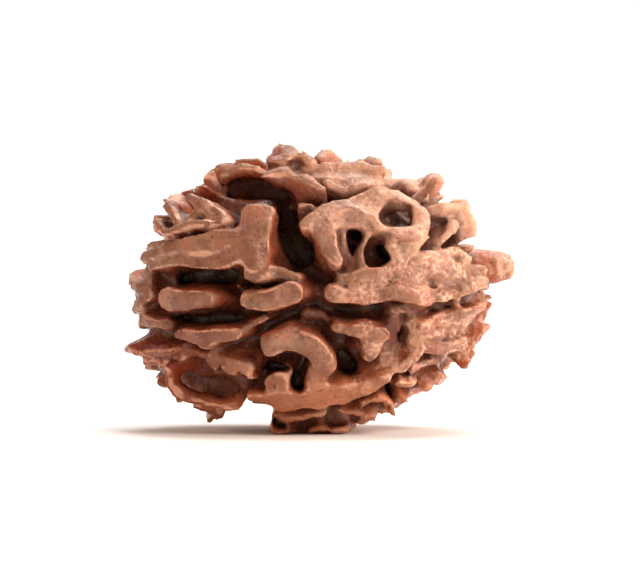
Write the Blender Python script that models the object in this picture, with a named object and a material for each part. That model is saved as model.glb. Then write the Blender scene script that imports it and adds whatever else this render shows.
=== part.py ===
"""Rudraksha bead: the hard stone of an Elaeocarpus fruit, cleaned, with its natural canal from pole to pole.

The stone is one solid. Its long axis and its canal lie along X, its near face looks along -Y, and it rests
on a small flat spot at z = 0. The relief is a field: ridges stand on a squarish egg-shaped core, and pits,
seams and the canal are taken out of it. The field's zero surface becomes the mesh.
"""

import itertools

import bpy
import numpy as np

# Driving dimensions, in millimetres. The mesh is brought to metres when it is made.
METRES_PER_MM = 0.001
CENTRE_HEIGHT = 8.9
ENVELOPE = np.array([11.0, 8.2, 8.4])
SQUARENESS = 2.4
TURNED_OVER = np.array([1.0, -1.0, -1.0])
GROOVE_DEPTH = 2.7
CANAL_RADIUS = 0.9
CANAL_HEIGHT = 8.2

# The outline seen from the near face, as x and z, going round from the top. It is where ridge tops reach
# midway between the two faces; the lug of the right end and the notch of the left one come on top of it.
OUTLINE = [
    (-3.2, 17.5), (-1.1, 17.7), (-0.4, 17.4), (1.6, 17.2), (3.9, 16.9), (4.4, 15.8), (5.6, 15.5), (7.4, 15.8),
    (8.2, 14.8), (9.4, 14.0), (9.7, 13.2), (9.3, 12.2), (10.0, 11.3), (10.8, 10.3), (11.0, 9.0), (11.0, 8.0),
    (10.6, 7.0), (10.0, 6.3), (9.7, 5.0), (8.6, 4.0), (6.1, 2.6), (4.5, 1.4), (2.6, 0.5), (1.3, -0.15),
    (-1.0, -0.3), (-2.8, -0.2), (-3.0, 1.4), (-4.4, 1.8), (-5.4, 1.5), (-6.2, 0.8), (-7.0, 0.75), (-8.5, 1.7),
    (-9.8, 2.6), (-11.0, 4.0), (-11.8, 5.2), (-11.6, 6.2), (-11.8, 7.1), (-11.9, 9.3), (-11.7, 10.6),
    (-10.5, 12.0), (-10.3, 13.2), (-9.5, 14.4), (-8.1, 14.8), (-7.3, 15.3), (-6.5, 16.7), (-4.3, 17.1),
]
OUTLINE_FADE = 4.5

# How the ridges are shaped, in millimetres
RIDGE_JOIN = 0.35
TOP_ROUNDING = 0.38
TOP_CROWN = 0.35
TOP_BUMPS = 0.3
ROOT_FILLET = 0.8
UNDERCUT = 0.25
UNDERCUT_SHARE = 0.4
ROOT_SPREAD = 0.6
LIP_HEIGHT = 0.18
LIP_INSET = 0.25
LIP_WIDTH = 0.17
PIT_ROUNDING = 0.4
PIT_BUMPS = 0.3
FAR = 3.0

# Round the edge between the two faces the grooves are shallower and the ridge tops keep to the outline
RIM_FILL = 0.58
RIM_EVENNESS = 0.8
RIM_FADE = 3.0

# How the growth wanders from the plan, in millimetres: size of the bumps and how far they move the surface
WANDER_CELL = 2.3
WANDER = 0.22
RIPPLE_CELL = 0.9
RIPPLE = 0.13
BUMP_CELL = 1.5
FLOOR_BUMPS = 0.6

# The dried fruit left on the stone, thickest at the end with the lug: its grain, and how far it stands out
CRUST_CELL = 0.7
CRUST = 0.2
CRUST_LEAST = 0.35
CRUST_START = -3.0
CRUST_FULL = 7.0

# How the field is sampled and how many triangles the solid keeps
SAMPLE_STEP = 0.28
SAMPLE_MARGIN = 2.2
TRIANGLES = 10800

# Ridges of the near face: half-widths along it, its top or tops above the envelope, and its crest as x, z
FACE_RIDGES = [
    # Long arm, upright block and its foot, upper left
    ((0.5, 0.55, 0.65, 0.7), (0.1, 0.25, 0.4, 0.4),
     [(-10.9, 11.0), (-8.9, 11.45), (-7.3, 11.9), (-5.4, 12.2)]),
    ((0.5, 0.6, 0.8, 0.9), (-0.3, -0.2, -0.1, 0.0),
     [(-10.7, 10.5), (-8.9, 10.8), (-7.2, 11.1), (-5.3, 11.2)]),
    ((1.1, 1.15, 1.0), (0.45, 0.3, 0.1), [(-3.85, 13.5), (-4.0, 12.1), (-3.95, 10.9)]),
    ((0.6, 0.55, 0.45), (-0.2, -0.4, -0.7), [(-4.3, 9.95), (-2.8, 10.1), (-1.5, 10.1)]),
    # Knobs on both sides of the seam, left half
    ((0.85, 0.75, 0.6), (0.0, 0.1, 0.1), [(-9.3, 8.4), (-7.8, 8.5), (-6.85, 8.5)]),
    ((0.75, 0.8, 0.85), (0.1, 0.25, 0.35), [(-4.4, 8.35), (-3.1, 8.5), (-1.65, 9.0)]),
    ((0.5, 0.65, 0.6), -0.05, [(-9.0, 6.2), (-6.9, 6.1), (-5.2, 6.2)]),
    ((0.5,), 0.05, [(-7.0, 5.5)]),
    ((0.45, 0.35), -0.5, [(-4.8, 6.6), (-3.4, 7.2)]),
    # Knobs below the seam, middle
    ((0.7, 0.8, 0.85, 0.7), 0.15, [(-3.1, 5.5), (-1.7, 6.0), (-0.4, 5.5), (0.4, 4.6)]),
    ((0.45, 0.6, 0.65), 0.1, [(1.1, 6.65), (2.6, 6.45), (4.0, 6.4)]),
    ((0.8, 0.4), 0.15, [(3.3, 5.9), (2.95, 4.9)]),
    ((0.5, 0.5), -0.9, [(-0.9, 7.3), (0.3, 7.1)]),
    # Lower plateau round its two pits
    ((0.6, 0.95, 1.1, 0.95, 0.6, 0.4), 0.25,
     [(-3.9, 2.4), (-2.5, 2.3), (-0.3, 2.5), (1.4, 2.7), (2.9, 3.2), (4.0, 3.7)]),
    ((0.7, 0.6), 0.15, [(-0.2, 3.4), (0.3, 4.3)]),
    ((0.5, 0.5, 0.4), -0.4, [(-3.2, 3.1), (-2.5, 3.7), (-2.0, 3.9)]),
    ((0.5, 0.45), -0.2, [(-2.3, 3.0), (-2.3, 3.6)]),
    ((0.4, 0.4), -0.1, [(-0.5, 3.3), (-0.4, 4.2)]),
    # Upper lip of the seam and the rough shoulder above it, right half
    ((0.7, 0.6, 0.6, 0.7, 0.6, 0.5), 0.05,
     [(0.8, 8.9), (2.8, 8.8), (5.0, 8.9), (7.0, 8.8), (9.0, 9.1), (10.4, 9.3)]),
    ((0.8, 0.9, 0.8, 0.6), (-0.9, -0.5, 0.0, -0.1), [(4.5, 9.8), (6.6, 10.0), (8.6, 10.3), (10.0, 10.1)]),
    ((0.55, 0.5, 0.5, 0.45), (-0.7, -0.4, -0.1, 0.0), [(5.8, 10.7), (6.9, 11.2), (8.4, 11.4), (9.3, 10.9)]),
    ((0.55, 0.7, 0.7, 0.6), (-0.6, -0.4, -0.5, -0.7), [(1.5, 9.9), (2.7, 9.9), (3.9, 10.0), (4.9, 10.3)]),
    # Lower lip of the seam and the plates under it, right half
    ((0.5, 0.45, 0.4), -0.8, [(5.2, 7.8), (7.6, 8.1), (10.3, 8.5)]),
    ((0.45, 0.6, 0.5), -0.15, [(6.2, 7.0), (8.3, 7.3), (10.2, 7.9)]),
    ((0.7, 0.8, 0.7), -0.9, [(5.2, 6.9), (4.9, 5.6), (4.4, 4.3)]),
    ((0.6, 0.7, 0.6), -0.45, [(6.6, 6.5), (8.5, 6.3), (9.8, 7.0)]),
    ((0.45, 0.5, 0.45), -0.05, [(6.6, 6.0), (5.7, 4.9), (5.0, 4.1)]),
    ((0.7, 0.7, 0.5), -0.45, [(7.0, 5.3), (8.5, 5.1), (9.4, 5.7)]),
    ((0.55, 0.6), -0.6, [(6.1, 3.7), (8.0, 4.2)]),
    ((0.45, 0.45), -0.2, [(4.9, 3.1), (6.1, 2.9)]),
    # Pitted plateau, upper right: its rim, the flat inside it, the arm hanging from it and the pit's lip
    ((0.45, 0.5, 0.6, 0.65, 0.6, 0.55, 0.5), 0.3,
     [(-1.0, 12.9), (0.0, 13.6), (1.7, 14.4), (3.6, 14.6), (5.1, 14.45), (6.1, 13.7), (6.2, 12.7)]),
    ((0.8, 1.0, 1.0, 0.9), (-0.1, -0.1, 0.1, 0.1), [(1.2, 13.6), (2.6, 13.9), (4.2, 13.8), (5.3, 13.6)]),
    ((0.4, 0.45, 0.45), 0.3, [(2.0, 14.2), (2.9, 13.4), (3.8, 12.9)]),
    ((0.7, 0.8, 0.6), (0.2, 0.15, 0.2), [(0.2, 13.0), (0.5, 11.8), (0.95, 10.9)]),
    ((0.4, 0.45, 0.5), (0.2, 0.35, 0.25), [(3.9, 12.9), (5.0, 12.55), (6.0, 12.4)]),
    ((0.5, 0.55, 0.6), (-0.5, -0.8, -1.0), [(1.6, 12.6), (1.9, 11.6), (2.2, 10.9)]),
    ((0.35, 0.3, 0.35), (-0.4, -0.6, -0.8), [(3.2, 12.6), (2.9, 11.7), (3.0, 10.8)]),
    ((0.7, 0.7), -0.55, [(5.2, 11.9), (5.2, 11.2)]),
    ((0.45, 0.5, 0.4), (-0.9, -0.4, -0.1), [(5.0, 10.9), (6.1, 11.5), (6.6, 12.2)]),
    ((0.4, 0.45, 0.4, 0.4), 0.3, [(7.3, 14.1), (8.5, 13.9), (9.1, 13.2), (9.2, 12.3)]),
    ((0.45, 0.45), -0.3, [(8.5, 13.2), (7.9, 12.1)]),
    ((0.35, 0.3), 0.0, [(-1.4, 14.3), (-0.4, 14.2)]),
    # Broken plates along the top and the curled fin below them
    ((0.8, 0.8, 0.8, 0.7), -0.3, [(-5.6, 16.1), (-2.4, 16.5), (0.8, 16.3), (3.6, 15.9)]),
    ((0.4, 0.5, 0.45), 0.15, [(-6.1, 15.9), (-4.9, 16.3), (-3.9, 16.3)]),
    ((0.5, 0.6, 0.5), 0.3, [(-3.0, 16.9), (-1.6, 17.0), (-0.6, 16.8)]),
    ((0.45, 0.5, 0.5), 0.15, [(0.3, 16.6), (1.9, 16.6), (3.6, 16.2)]),
    ((0.5, 0.5), -0.15, [(3.6, 15.6), (2.2, 15.6)]),
    ((0.45, 0.4), -0.3, [(0.4, 15.7), (1.4, 15.5)]),
    ((0.35, 0.45, 0.5, 0.45, 0.3), 0.55,
     [(-3.4, 15.5), (-2.4, 15.9), (-1.4, 15.8), (-0.5, 15.3), (0.2, 14.9)]),
    # Small blades, upper left
    ((0.7, 0.7), -0.5, [(-8.6, 13.6), (-6.9, 13.4)]),
    ((0.5, 0.6, 0.6, 0.35), (0.35, 0.2, 0.1, 0.0), [(-7.6, 14.3), (-6.9, 14.1), (-6.3, 13.7), (-5.7, 13.3)]),
    ((0.35, 0.3), 0.1, [(-7.4, 14.0), (-8.0, 13.2)]),
    ((0.6, 0.6), -0.3, [(-11.2, 9.9), (-11.0, 8.6)]),
    ((0.5, 0.5), -0.3, [(-11.2, 7.1), (-9.9, 6.8)]),
    ((0.4, 0.4, 0.35, 0.3), 0.15, [(-9.1, 12.3), (-7.9, 12.9), (-6.6, 13.0), (-5.7, 13.1)]),
    ((0.3, 0.45, 0.4), 0.3, [(-9.9, 14.5), (-9.2, 13.9), (-8.7, 13.1)]),
    ((0.3, 0.4, 0.4), 0.1, [(-10.6, 13.2), (-9.9, 12.7), (-9.3, 12.2)]),
    # Blades, cup and star, lower left
    ((0.35, 0.4, 0.35), -0.05, [(-11.2, 5.0), (-10.1, 4.9), (-8.9, 5.2)]),
    ((0.4, 0.4), -0.2, [(-10.7, 4.3), (-9.3, 4.0)]),
    ((0.5, 0.5, 0.4), -0.7, [(-9.8, 4.7), (-8.6, 4.7), (-7.6, 4.6)]),
    ((0.35, 0.35, 0.35, 0.35, 0.35), 0.5,
     [(-8.8, 4.2), (-8.6, 3.1), (-7.5, 2.2), (-6.1, 2.0), (-4.8, 2.0)]),
    ((0.45, 0.6, 0.45), (-0.3, -0.1, -0.3), [(-7.0, 4.5), (-5.9, 4.3), (-4.6, 4.0)]),
    ((0.45, 0.25), (-0.1, 0.0), [(-5.9, 4.0), (-5.75, 3.2)]),
    ((0.3, 0.2), -0.2, [(-6.9, 4.2), (-6.9, 3.7)]),
    ((0.3, 0.2), -0.2, [(-4.8, 3.8), (-4.4, 3.2)]),
    ((0.45, 0.5), 0.1, [(-7.8, 1.4), (-6.8, 1.3)]),
    # Small cups and plates along the bottom
    ((0.3, 0.3, 0.3, 0.3), 0.35, [(2.6, 2.0), (3.5, 2.4), (4.3, 2.1), (4.3, 1.6)]),
    ((0.3, 0.3, 0.3), 0.0, [(1.2, 1.2), (2.0, 1.4), (2.7, 1.0)]),
    ((0.35, 0.4, 0.35), 0.1, [(-2.3, 0.9), (-1.0, 1.1), (0.1, 1.3)]),
]

# Pits and seams of the near face, sunk straight in from the front: half-widths, depth, and the path as x, z
FACE_PITS = [
    ((0.2, 0.22, 0.15), 1.9, [(0.6, 7.75), (1.9, 7.8), (3.6, 7.7)]),
    ((0.2, 0.3, 0.25), 3.0, [(-9.0, 7.3), (-7.3, 7.05), (-5.0, 7.3)]),
    ((0.7, 0.7), 1.0, [(4.5, 13.5), (5.2, 13.45)]),
    ((0.45, 0.45), 1.7, [(4.6, 13.5), (5.1, 13.4)]),
    ((0.35, 0.35), 3.4, [(2.2, 12.4), (2.5, 12.1)]),
    ((0.45, 0.4), 3.4, [(3.6, 11.6), (4.2, 11.0)]),
    ((0.35, 0.3), 1.7, [(7.2, 13.3), (7.1, 12.5)]),
    ((0.38, 0.35), 3.4, [(-1.4, 3.85), (-1.3, 3.2)]),
    ((0.25, 0.25), 3.2, [(-3.0, 4.4), (-1.9, 4.35)]),
    ((0.35, 0.4), 3.4, [(1.3, 5.3), (1.6, 4.5)]),
    ((0.5, 0.65, 0.95, 1.0), 5.4, [(-2.2, 14.2), (-2.1, 13.2), (-1.8, 12.0), (-1.3, 11.3)]),
    ((0.65, 0.75, 0.5), 5.8, [(-5.3, 15.1), (-3.8, 15.1), (-2.3, 14.6)]),
    ((0.35, 0.55, 0.55), 3.8, [(-8.4, 9.6), (-7.0, 9.85), (-5.6, 9.8)]),
    ((0.45, 0.65, 0.62, 0.4), 3.0, [(-8.0, 3.6), (-7.1, 3.15), (-5.9, 3.0), (-5.0, 3.05)]),
    ((0.35, 0.35), 1.6, [(3.1, 1.8), (3.9, 1.75)]),
    ((0.4,), 0.5, [(-1.6, 16.8)]),
    ((0.25,), 1.8, [(4.0, 15.7)]),
    ((0.22, 0.22), 1.0, [(-2.7, 0.85), (-2.2, 0.65)]),
    ((0.28, 0.25), 1.0, [(-1.0, 0.6), (-0.5, 0.75)]),
    ((0.3, 0.3), 1.0, [(0.7, 0.8), (1.3, 1.0)]),
]

# Ridges that cross the edge between the two faces, each seen end on in the outline: x and z of the outline,
# how far it runs in front of and behind that edge, its slant, half-width, and top above the outline
EDGE_RIDGES = [
    (11.0, 10.4, -1.2, 0.8, 0.2, 1.05, 0.5),
    (11.0, 10.4, -0.9, 0.5, 0.2, 0.8, 1.1),
    (-9.3, 14.6, -2.2, 2.0, -0.8, 0.3, 0.1),
    (-7.9, 15.1, -2.2, 2.6, 1.0, 0.35, 0.0),
    (-11.8, 5.1, -2.0, 2.2, 0.5, 0.35, 0.15),
    (-11.7, 9.3, -2.6, 2.4, -0.9, 0.5, 0.0),
    (-11.8, 7.6, -2.4, 2.8, 0.8, 0.45, 0.0),
    (-11.8, 8.4, -2.0, 2.0, 0.2, 0.5, -0.3),
    (-6.8, 0.9, -2.4, 2.2, -0.8, 0.4, 0.0),
    (-2.4, 0.0, -3.3, 3.3, 0.4, 0.8, 0.6),
    (-1.3, -0.2, -2.8, 2.8, 0.2, 0.6, 0.4),
    (-0.4, -0.2, -3.3, 3.3, -0.4, 0.75, 0.6),
    (0.6, -0.1, -2.8, 2.8, 0.2, 0.6, 0.4),
    (1.5, 0.1, -3.3, 3.3, 0.5, 0.7, 0.6),
    (2.9, 0.7, -2.8, 2.6, -0.5, 0.7, 0.0),
    (4.5, 1.5, -2.4, 2.4, 0.8, 0.55, 0.0),
    (5.4, 2.1, -2.4, 2.4, 0.3, 0.6, -0.1),
    (6.2, 2.7, -2.2, 2.4, -0.8, 0.5, 0.0),
    (7.3, 3.3, -2.2, 2.2, -0.3, 0.7, 0.0),
    (-2.4, 17.6, -2.4, 2.6, 1.4, 0.6, 0.0),
    (0.6, 17.3, -2.4, 2.8, -1.2, 0.5, 0.0),
    (3.3, 17.0, -2.2, 2.4, 1.2, 0.5, 0.0),
    (7.2, 15.8, -1.6, 2.4, 1.0, 0.5, 0.0),
]

# Notches across that edge, as x, z, front, back, slant, half-width, and depth under the outline
EDGE_PITS = [(-11.6, 5.85, -3.2, 3.2, 0.4, 0.3, 1.3)]

# Ridges grown by rule over what the drawn ones leave bare, first the main ones and then low ones between
# them: seed, clear gap kept, half-widths, tops above the envelope, and longest run
GROWN_RIDGES = [(21, 0.5, (0.5, 0.85), (-0.35, 0.15), 5.0), (22, 0.35, (0.26, 0.4), (-1.5, -0.6), 3.0)]
GROWTH_STEP = 0.5
GROWTH_SPOTS = 4000
GROWTH_CELL = 4.0


def blend_min(first, second, width):
    """The lower of two fields, rounded where they meet."""
    share = np.clip(0.5 + 0.5 * (second - first) / width, 0.0, 1.0)
    return second + (first - second) * share - width * share * (1.0 - share)


def blend_max(first, second, width):
    """The higher of two fields, rounded where they meet."""
    return -blend_min(-first, -second, width)


def growth_noise(points, cell, seed):
    """Smooth noise from -1 to 1 in three channels, with bumps about one cell wide."""
    side = 32
    table = np.random.default_rng(seed).uniform(-1.0, 1.0, (side, side, side, 3))
    place = points / cell
    base = np.floor(place).astype(int)
    part = place - base
    part = part * part * (3.0 - 2.0 * part)
    total = np.zeros((len(points), 3))
    for corner in itertools.product((0, 1), repeat=3):
        index = (base + corner) % side
        share = np.prod(np.where(corner, part, 1.0 - part), axis=1)
        total += share[:, None] * table[index[:, 0], index[:, 1], index[:, 2]]
    return total


def envelope_reach(points):
    """How far out each point lies, where 1 is on the envelope."""
    return (np.abs(points / ENVELOPE) ** SQUARENESS).sum(axis=-1) ** (1.0 / SQUARENESS)


def onto_envelope(points):
    """The points moved in or out along their own radius until they lie on the envelope."""
    return points / envelope_reach(points)[..., None]


def bare_height(points):
    """Radial distance of each point above the plain envelope."""
    return np.linalg.norm(points, axis=-1) * (1.0 - 1.0 / envelope_reach(points))


def outline_levels():
    """The outline as angles in the XZ plane and heights above the plain envelope."""
    ring = np.array([(x, 0.0, z - CENTRE_HEIGHT) for x, z in OUTLINE])
    return np.arctan2(ring[:, 2], ring[:, 0]), bare_height(ring)


def outline_swell(points):
    """How far the stone swells past the plain envelope so that its outline is the one given."""
    angles, levels = outline_levels()
    there = np.interp(np.arctan2(points[..., 2], points[..., 0]), angles, levels, period=2.0 * np.pi)
    return there * np.exp(-((points[..., 1] / OUTLINE_FADE) ** 2))


def rim_share(points):
    """How much each point belongs to the edge between the two faces, from 0 to 1."""
    return np.exp(-((points[..., 1] / RIM_FADE) ** 2))


def near_face_point(x, z):
    """The envelope's point on the near face that is seen at x and z, where z counts from the table."""
    edge_share = 0.03
    stretch = 1.0
    for _ in range(3):
        across, up = x / stretch, (z - CENTRE_HEIGHT) / stretch
        room = 1.0 - abs(across / ENVELOPE[0]) ** SQUARENESS - abs(up / ENVELOPE[2]) ** SQUARENESS
        depth = -ENVELOPE[1] * max(room, edge_share) ** (1.0 / SQUARENESS)
        spot = onto_envelope(np.array([across, depth, up]))
        stretch = 1.0 + outline_swell(spot) / np.linalg.norm(spot)
    return spot


def smooth_path(points):
    """The path with curved points between those given, all on the envelope."""
    if len(points) == 1:
        return onto_envelope(np.array([points[0], points[0] + 0.01]))
    steps = 3
    ends = [2 * points[0] - points[1], *points, 2 * points[-1] - points[-2]]
    line = []
    for before, start, end, after in zip(ends, ends[1:], ends[2:], ends[3:]):
        for t in np.arange(steps) / steps:
            line.append(0.5 * (2 * start + (end - before) * t
                               + (2 * before - 5 * start + 4 * end - after) * t**2
                               + (3 * start - before - 3 * end + after) * t**3))
    line.append(points[-1])
    return onto_envelope(np.array(line))


def along_path(values, count):
    """A value for each of count path points, from the few that were given."""
    return np.interp(np.linspace(0.0, 1.0, count), np.linspace(0.0, 1.0, len(values)), values)


def face_strokes(table):
    """Each row of a face table as (path, half-widths, levels), on the near face and again on the far one."""
    strokes = []
    for half_widths, level, outline in table:
        path = smooth_path([near_face_point(x, z) for x, z in outline])
        widths = along_path(half_widths, len(path))
        levels = along_path(np.atleast_1d(level), len(path))
        strokes.append((path, widths, levels))
        strokes.append((path * TURNED_OVER, widths, levels))
    return strokes


def sunk_strokes(table):
    """Each row of a table of pits as (path seen from the front, half-widths, how far back the floor lies)."""
    strokes = []
    for half_widths, depth, outline in table:
        path = smooth_path([near_face_point(x, z) for x, z in outline])
        path *= 1.0 + (outline_swell(path) / np.linalg.norm(path, axis=1))[:, None]
        strokes.append((path[:, [0, 2]], along_path(half_widths, len(path)), path[:, 1] + depth))
    return strokes


def edge_strokes(table):
    """Each row of the edge table as (path, half-widths, levels)."""
    strokes = []
    for x, z, front, back, slant, half_width, level in table:
        middle = np.array([x, 0.0, z - CENTRE_HEIGHT])
        outward = middle / ENVELOPE**2
        tangent = np.array([-outward[2], 0.0, outward[0]]) / np.hypot(outward[0], outward[2])
        ends = [middle + tangent * slant * share + (0.0, depth, 0.0)
                for share, depth in ((-0.5, front), (0.0, (front + back) / 2), (0.5, back))]
        path = smooth_path([onto_envelope(end) for end in ends])
        strokes.append((path, np.full(len(path), half_width), np.full(len(path), level)))
    return strokes


def clear_gap(spot, line):
    """Distance from a spot to the nearest side of the ridges along a line of (x, y, z, half-width) rows."""
    return (np.linalg.norm(line[:, :3] - spot, axis=1) - line[:, 3]).min()


def grown_path(start, taken, gap, longest):
    """A path from start both ways along the grain, kept a gap clear of what is taken."""
    halves = []
    for sense in (1.0, -1.0):
        spot, heading, half = start, None, []
        while len(half) * GROWTH_STEP < longest / 2:
            grain = growth_noise(spot[None], GROWTH_CELL, seed=31)[0] + (0.35, 0.0, 0.0)
            grain -= spot * (grain @ spot) / (spot @ spot)
            grain = sense * grain if heading is None else np.sign(grain @ heading) * grain
            heading = grain / np.linalg.norm(grain)
            spot = onto_envelope(spot + heading * GROWTH_STEP)
            if clear_gap(spot, taken) < gap:
                break
            half.append(spot)
        halves.append(half)
    return np.array([*halves[1][::-1], start, *halves[0]])


def grown_strokes(drawn, recipe):
    """Ridges grown over what the drawn ones leave bare, as (path, half-widths, levels)."""
    seed, gap, half_widths, levels, longest = recipe
    random = np.random.default_rng(seed)
    taken = np.concatenate([np.column_stack([path, widths]) for path, widths, _ in drawn])
    strokes = []
    for start in onto_envelope(random.normal(size=(GROWTH_SPOTS, 3))):
        half_width, level = random.uniform(*half_widths), random.uniform(*levels)
        if clear_gap(start, taken) < gap + half_width:
            continue
        path = grown_path(start, taken, gap + half_width, longest)
        if len(path) < 2:
            continue
        taper = np.sin(np.pi * np.linspace(0.2, 0.8, len(path)))
        strokes.append((path, half_width * taper, level * (1.0 - RIM_EVENNESS * rim_share(path))))
        taken = np.concatenate([taken, np.column_stack([path, strokes[-1][1]])])
    return strokes


def all_ridges():
    """Every ridge of the stone: drawn ones, and those grown between them."""
    strokes = face_strokes(FACE_RIDGES) + edge_strokes(EDGE_RIDGES)
    for recipe in GROWN_RIDGES:
        strokes += grown_strokes(strokes, recipe)
    return strokes


def stroke_distance(points, stroke):
    """Each point's distance from the stroke's side, negative inside, and the level and half-width there."""
    path, widths, levels = stroke
    nearest = np.full(len(points), np.inf)
    traits = np.zeros((len(points), 2))
    ends = np.column_stack([levels, widths])
    for i in range(len(path) - 1):
        run = path[i + 1] - path[i]
        share = np.clip((points - path[i]) @ run / (run @ run), 0.0, 1.0)
        gap = np.linalg.norm(points - path[i] - share[:, None] * run, axis=1)
        here = ends[i] + share[:, None] * (ends[i + 1] - ends[i])
        gap -= here[:, 1]
        closer = gap < nearest
        nearest = np.where(closer, gap, nearest)
        traits = np.where(closer[:, None], here, traits)
    return nearest, *traits.T


def joined(spots, strokes, shape):
    """The fields that shape makes of all the strokes, run together."""
    total = np.full(len(spots), FAR)
    for stroke in strokes:
        path, half_widths, _ = stroke
        middle = path.mean(axis=0)
        reach = np.linalg.norm(path - middle, axis=1).max() + half_widths.max() + 1.5
        near = np.flatnonzero(np.linalg.norm(spots - middle, axis=1) < reach)
        own = shape(near, *stroke_distance(spots[near], stroke))
        total[near] = blend_min(total[near], own, RIDGE_JOIN)
    return total


def sunk_pits(points, pit_strokes, bumps):
    """The pits of the near face as one field, negative inside them."""
    def pit(near, side, floor, _):
        return blend_max(side + PIT_BUMPS * bumps[near], points[near, 1] - floor, PIT_ROUNDING)

    return joined(points[:, [0, 2]], pit_strokes, pit)


def crust_relief(points):
    """How far the crust stands out from the bare shell at each point."""
    share = np.clip((points[:, 0] - CRUST_START) / (CRUST_FULL - CRUST_START), CRUST_LEAST, 1.0)
    return CRUST * share * growth_noise(points, CRUST_CELL, seed=14)[:, 0]


def stone_field(points, ridge_strokes, pit_strokes, notch_strokes):
    """The stone's relief: negative inside, about a distance in millimetres near the surface."""
    wander = growth_noise(points, WANDER_CELL, seed=11) * WANDER
    points = points + wander + growth_noise(points, RIPPLE_CELL, seed=12) * RIPPLE
    height = bare_height(points) - outline_swell(points)
    above = onto_envelope(points)
    shrink = np.linalg.norm(points, axis=1) / np.linalg.norm(above, axis=1)
    floor_bumps, top_bumps, spread = growth_noise(points, BUMP_CELL, seed=13).T
    depth = GROOVE_DEPTH * (1.0 - RIM_FILL * rim_share(points))

    def ridge(near, side, level, width):
        top = level + TOP_BUMPS * top_bumps[near] - TOP_CROWN * np.clip(1.0 + side / width, 0.0, 1.0) ** 2
        rise = height[near] - top
        under = np.clip(-rise / depth[near], 0.0, 1.0)
        hollow = np.minimum(UNDERCUT, UNDERCUT_SHARE * width) * np.sin(np.pi * under)
        flare = ROOT_SPREAD * under**2
        wall = side * shrink[near] + hollow * (0.5 + 0.5 * spread[near]) - flare * (0.5 - 0.5 * spread[near])
        lip = LIP_HEIGHT * np.exp(-(((side + LIP_INSET) / LIP_WIDTH) ** 2))
        return blend_max(wall, rise - lip, TOP_ROUNDING)

    def notch(near, side, level, _):
        return blend_max(side * shrink[near], -(height[near] + level), PIT_ROUNDING)

    floor = height + depth + FLOOR_BUMPS * floor_bumps
    relief = blend_min(floor, joined(above, ridge_strokes, ridge), ROOT_FILLET)
    pits = np.minimum(sunk_pits(points, pit_strokes, spread),
                      sunk_pits(points * TURNED_OVER, pit_strokes, spread))
    pits = np.minimum(pits, joined(above, notch_strokes, notch))
    return blend_max(relief, -pits, PIT_ROUNDING) - crust_relief(points)


def connected(cells, start):
    """The cells that hang together with the one at start."""
    found = np.zeros_like(cells)
    found[start] = True
    count = 0
    while found.sum() > count:
        count = found.sum()
        spread = found.copy()
        for axis, way in itertools.product(range(3), (-1, 1)):
            spread |= np.roll(found, way, axis)
        found = spread & cells
    return found


def one_piece(values):
    """The field without loose scraps outside the stone and without sealed bubbles in it."""
    core = tuple(size // 2 for size in values.shape)
    values = np.where((values < 0.0) & ~connected(values < 0.0, core), FAR, values)
    return np.where((values >= 0.0) & ~connected(values >= 0.0, (0, 0, 0)), -FAR, values)


def sample_field(step):
    """The field on a grid round the stone, worked out only near its surface, and the grid's first corner."""
    deepest, highest = -(GROOVE_DEPTH + 2.0), 2.0
    half = ENVELOPE + SAMPLE_MARGIN
    axes = [np.arange(-size, size + step, step) for size in half]
    grid = np.stack(np.meshgrid(*axes, indexing="ij"), axis=-1)
    shape = grid.shape[:3]
    grid = grid.reshape(-1, 3)
    height = bare_height(grid) - outline_swell(grid)
    values = np.where(height < 0.0, -FAR, FAR)
    near = np.flatnonzero((height > deepest) & (height < highest))
    values[near] = stone_field(grid[near], all_ridges(), sunk_strokes(FACE_PITS), edge_strokes(EDGE_PITS))
    return one_piece(values.reshape(shape)), np.array([axis[0] for axis in axes])


def field_surface(values, corner, step):
    """The field's zero surface as points and quads: one point in each cell that it crosses."""
    cells = np.array(values.shape) - 1
    sums = np.zeros((4, cells.prod()))
    quads = []
    for axis in range(3):
        low = np.take(values, range(cells[axis]), axis)
        high = np.take(values, range(1, cells[axis] + 1), axis)
        crossed = np.argwhere((low < 0.0) != (high < 0.0))
        at_low = low[tuple(crossed.T)]
        place = crossed.astype(float)
        place[:, axis] += at_low / (at_low - high[tuple(crossed.T)])
        second, third = (axis + 1) % 3, (axis + 2) % 3
        round_edge = []
        for back, aside in ((0, 0), (1, 0), (1, 1), (0, 1)):
            cell = crossed.copy()
            cell[:, second] -= back
            cell[:, third] -= aside
            number = np.ravel_multi_index(cell.T, cells)
            round_edge.append(number)
            for row in range(3):
                sums[row] += np.bincount(number, place[:, row], cells.prod())
            sums[3] += np.bincount(number, minlength=cells.prod())
        ring = np.stack(round_edge, axis=1)
        quads.append(np.where((at_low < 0.0)[:, None], ring, ring[:, ::-1]))
    quads = np.concatenate(quads)
    used, faces = np.unique(quads, return_inverse=True)
    points = corner + step * (sums[:3, used] / sums[3, used]).T
    return points, faces.reshape(-1, 4)


def mesh_object(name, points, faces):
    """A mesh object from points in millimetres."""
    mesh = bpy.data.meshes.new(name)
    mesh.from_pydata((points * METRES_PER_MM).tolist(), [], faces.tolist())
    made = bpy.data.objects.new(name, mesh)
    bpy.context.collection.objects.link(made)
    return made


def helper(made, name):
    """Marks a cutter, which isn't part of the stone."""
    made.name = name
    made.hide_render = True
    made.display_type = "WIRE"
    return made


def canal_cutter():
    """A round rod through both poles, for the string."""
    bpy.ops.mesh.primitive_cylinder_add(
        vertices=20, radius=CANAL_RADIUS * METRES_PER_MM, depth=3 * ENVELOPE[0] * METRES_PER_MM,
        location=(0.0, 0.0, CANAL_HEIGHT * METRES_PER_MM), rotation=(0.0, np.pi / 2, 0.0))
    return helper(bpy.context.object, "canal_cutter")


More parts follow.
